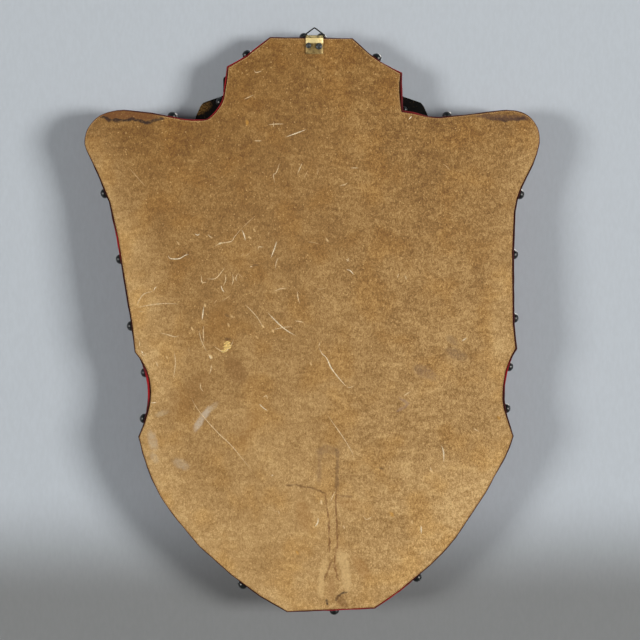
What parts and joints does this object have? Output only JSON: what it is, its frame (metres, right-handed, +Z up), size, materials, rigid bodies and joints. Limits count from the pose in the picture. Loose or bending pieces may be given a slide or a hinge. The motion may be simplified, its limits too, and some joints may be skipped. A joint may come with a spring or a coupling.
{
  "type": "heraldic shield wall plaque",
  "caption": "Felt-covered particle-board shield plaque with a carved shield on its front, domed edge nails and a folded strap with a swinging wire ring to hang it by",
  "frame": {"origin": "the hang point, inside the top of the wire ring", "axes": "+Y is the way the bare back faces, towards the wall; -Y is the carved front; +Z is up; +X is to the left as seen from behind"},
  "size_m": [0.477, 0.0333, 0.6137],
  "materials": {
    "particle_board": "raw fine-flake particle board, scratched and stained",
    "red_felt": "matt felt",
    "blackened_carving": "carved, painted black and rubbed with old gold",
    "black_nails": "gloss black",
    "dull_brass": "dull, aged",
    "dull_steel": "dull, aged",
    "blackened_wire": "dark, half matt"
  },
  "bodies": {
    "plaque": {"backboard": "particle_board", "felt_cover": "red_felt", "carved_shield": "blackened_carving", "hanger_strap": "dull_brass", "hanger_nail_left": "dull_steel", "hanger_nail_right": "dull_steel", "edge_nail_01": "black_nails", "edge_nail_02": "black_nails", "edge_nail_03": "black_nails", "edge_nail_04": "black_nails", "edge_nail_05": "black_nails", "edge_nail_06": "black_nails", "edge_nail_07": "black_nails", "edge_nail_08": "black_nails", "edge_nail_09": "black_nails", "edge_nail_10": "black_nails", "edge_nail_11": "black_nails", "edge_nail_12": "black_nails", "edge_nail_13": "black_nails", "edge_nail_14": "black_nails", "edge_nail_15": "black_nails", "edge_nail_16": "black_nails", "edge_nail_17": "black_nails", "edge_nail_18": "black_nails", "edge_nail_19": "black_nails", "edge_nail_20": "black_nails", "edge_nail_21": "black_nails"},
    "ring": {"hanger_ring": "blackened_wire"}
  },
  "joints": [
    {"name": "ring_swing", "type": "hinge", "parent": "plaque", "child": "ring", "pos_m": [0, 0, -0.0082], "axis": [1, 0, 0], "range_deg": [-155, 45]}
  ]
}
